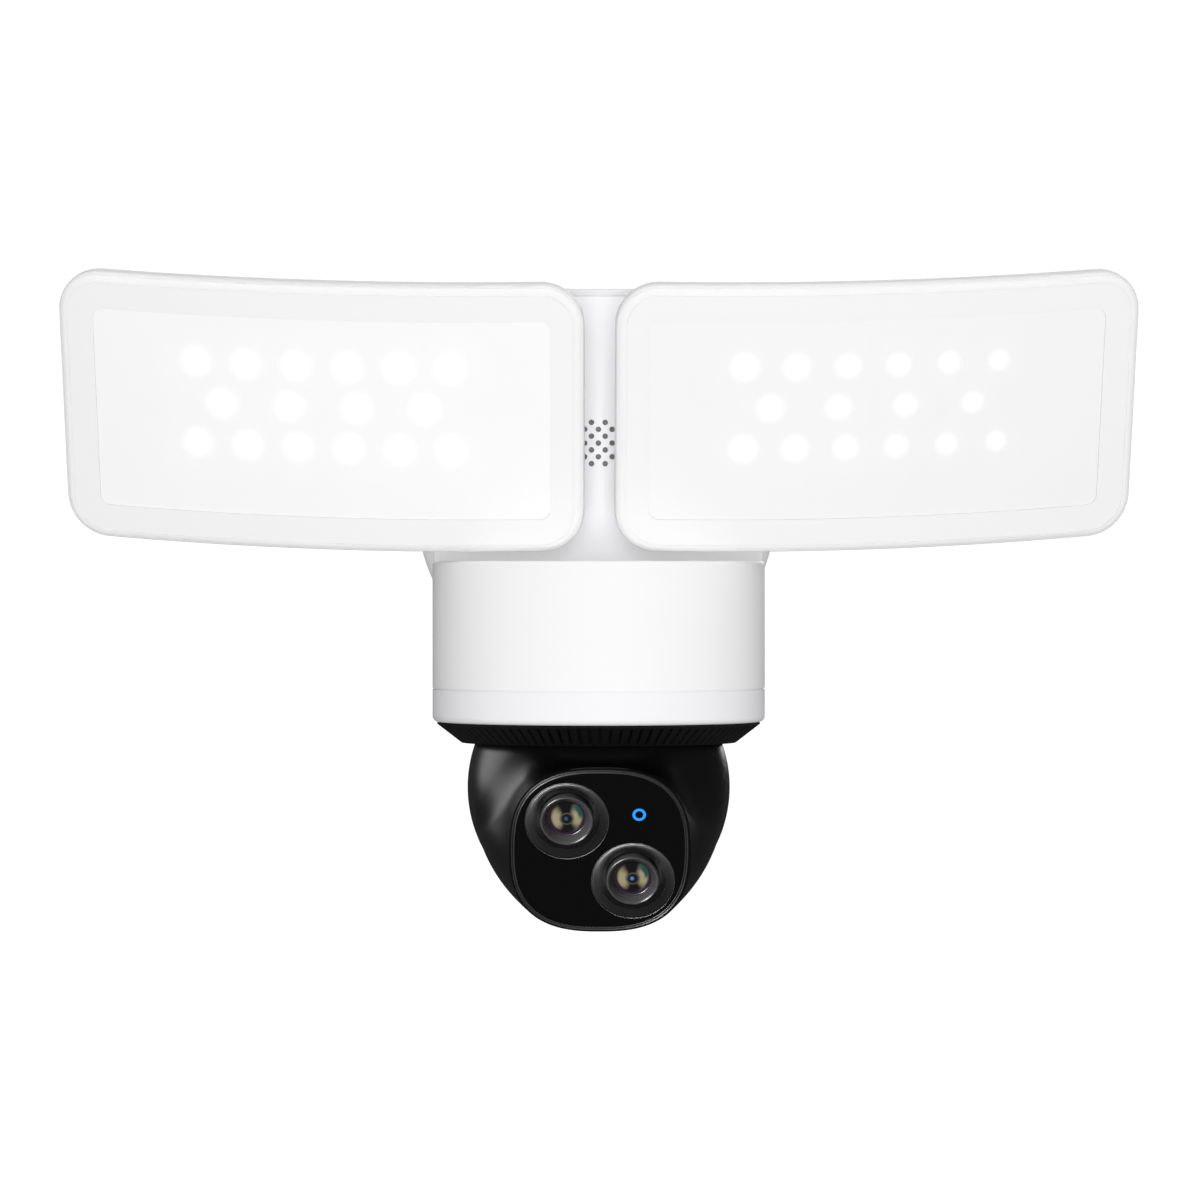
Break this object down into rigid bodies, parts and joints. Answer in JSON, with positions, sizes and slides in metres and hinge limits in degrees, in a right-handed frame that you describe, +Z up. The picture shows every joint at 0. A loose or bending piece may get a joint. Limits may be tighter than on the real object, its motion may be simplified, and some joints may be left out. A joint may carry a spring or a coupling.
{
  "type": "floodlight security camera",
  "caption": "Wall-mounted security camera with adjustable bent LED light panels, a round drum body and a pan-and-tilt ball head with paired lenses.",
  "frame": {"origin": "centre of the wall face, midway between the two slots of the mounting bracket", "axes": "+X to the right of someone facing the lamp, +Y into the wall, +Z up; the camera looks along -Y"},
  "size_m": [0.3644, 0.1725, 0.2235],
  "materials": {
    "white_shell": "smooth white moulding, satin to semi-gloss",
    "grey_white_trim": "cool white moulding, satin",
    "light_housing": "white moulding, semi-gloss",
    "frosted_window": "milky translucent polycarbonate, satin",
    "black_gloss": "deep black acrylic, gloss",
    "black_satin": "black moulding, satin gloss",
    "black_matte": "black glass-filled moulding, matte",
    "lens_trim": "black anodised, turned",
    "lens_glass": "coated glass",
    "status_blue": "lit blue light guide",
    "steel": "zinc-plated",
    "rubber_dark": "matte",
    "foam_gasket": "closed-cell foam",
    "arm_white": "white powder coat",
    "nylon": "natural nylon",
    "board_green": "solder mask",
    "board_aluminium": "satin",
    "led": "lit lamp",
    "motor_can": "satin",
    "gear_plastic": "acetal"
  },
  "bodies": {
    "wall_base": {"mounting_bracket": "steel", "bracket_studs": "steel", "cap_nuts": "steel", "base_canopy": "white_shell", "base_gasket": "foam_gasket", "neck_fork": "arm_white", "fork_screws": "steel", "neck_bolt": "steel", "wire_gland": "rubber_dark"},
    "main_body": {"body_shell": "white_shell", "front_plate": "grey_white_trim", "top_cap": "grey_white_trim", "bottom_ring": "grey_white_trim", "body_screws": "steel", "neck_lug": "arm_white", "speaker": "black_matte", "main_board": "board_green", "power_board": "board_green", "pan_motor": "motor_can", "pan_bearing": "nylon", "left_arm": "arm_white", "right_arm": "arm_white"},
    "pan_pinion": {"pan_pinion": "gear_plastic"},
    "sync_button": {"sync_button": "grey_white_trim"},
    "pan_head": {"turntable": "black_matte", "vent_ring": "black_matte", "tilt_yoke": "black_matte", "yoke_screws": "steel", "tilt_motor": "motor_can"},
    "tilt_pinion": {"tilt_pinion": "gear_plastic"},
    "camera_ball": {"tilt_gear": "gear_plastic", "head_front": "black_satin", "head_rear": "black_satin", "head_screws": "steel", "face_rim": "black_gloss", "face_plate": "black_gloss", "status_light": "status_blue", "sensor_board": "board_green", "wide_lens_ring": "lens_trim", "wide_lens_barrel": "lens_trim", "wide_lens_glass": "lens_glass", "tele_lens_ring": "lens_trim", "tele_lens_barrel": "lens_trim", "tele_lens_glass": "lens_glass"},
    "left_seat": {"left_ball_seat": "nylon"},
    "left_light": {"left_frame": "light_housing", "left_diffuser": "frosted_window", "left_housing": "light_housing", "left_led_board": "board_aluminium", "left_leds": "led", "left_socket": "light_housing", "left_collar": "arm_white"},
    "right_seat": {"right_ball_seat": "nylon"},
    "right_light": {"right_frame": "light_housing", "right_diffuser": "frosted_window", "right_housing": "light_housing", "right_led_board": "board_aluminium", "right_leds": "led", "right_socket": "light_housing", "right_collar": "arm_white"}
  },
  "joints": [
    {"name": "mount_tilt", "type": "hinge", "parent": "wall_base", "child": "main_body", "pos_m": [0, -0.037, 0], "axis": [1, 0, 0], "range_deg": [-15, 15]},
    {"name": "head_pan", "type": "hinge", "parent": "main_body", "child": "pan_head", "pos_m": [0, -0.113, -0.075], "axis": [0, 0, 1], "range_deg": [-175, 175]},
    {"name": "pan_pinion_spin", "type": "hinge", "parent": "main_body", "child": "pan_pinion", "pos_m": [0, -0.08175, -0.042], "axis": [0, 0, 1], "range_deg": [-805, 805]},
    {"name": "head_tilt", "type": "hinge", "parent": "pan_head", "child": "camera_ball", "pos_m": [0, -0.113, -0.0974], "axis": [1, 0, 0], "range_deg": [-6, 50]},
    {"name": "tilt_pinion_spin", "type": "hinge", "parent": "pan_head", "child": "tilt_pinion", "pos_m": [0.018, -0.09942, -0.08382], "axis": [1, 0, 0], "range_deg": [-152, 20]},
    {"name": "sync_press", "type": "slide", "parent": "main_body", "child": "sync_button", "axis": [0, -1, 0], "range_m": [0, 0.0012], "stiffness_N_per_m": 400},
    {"name": "right_light_tilt", "type": "hinge", "parent": "main_body", "child": "right_seat", "pos_m": [0.09076, -0.12596, 0.03694], "axis": [1, 0, 0], "range_deg": [-20, 12]},
    {"name": "right_light_swivel", "type": "hinge", "parent": "right_seat", "child": "right_light", "pos_m": [0.09076, -0.12596, 0.03694], "axis": [0, -0.3256, 0.9455], "range_deg": [-12, 1]},
    {"name": "left_light_tilt", "type": "hinge", "parent": "main_body", "child": "left_seat", "pos_m": [-0.09076, -0.12596, 0.03694], "axis": [1, 0, 0], "range_deg": [-20, 12]},
    {"name": "left_light_swivel", "type": "hinge", "parent": "left_seat", "child": "left_light", "pos_m": [-0.09076, -0.12596, 0.03694], "axis": [0, 0.3256, -0.9455], "range_deg": [-12, 1]}
  ],
  "couplings": [
    {"joint": "pan_pinion_spin", "follows": "head_pan", "ratio": 4.5714},
    {"joint": "tilt_pinion_spin", "follows": "head_tilt", "ratio": -3}
  ]
}
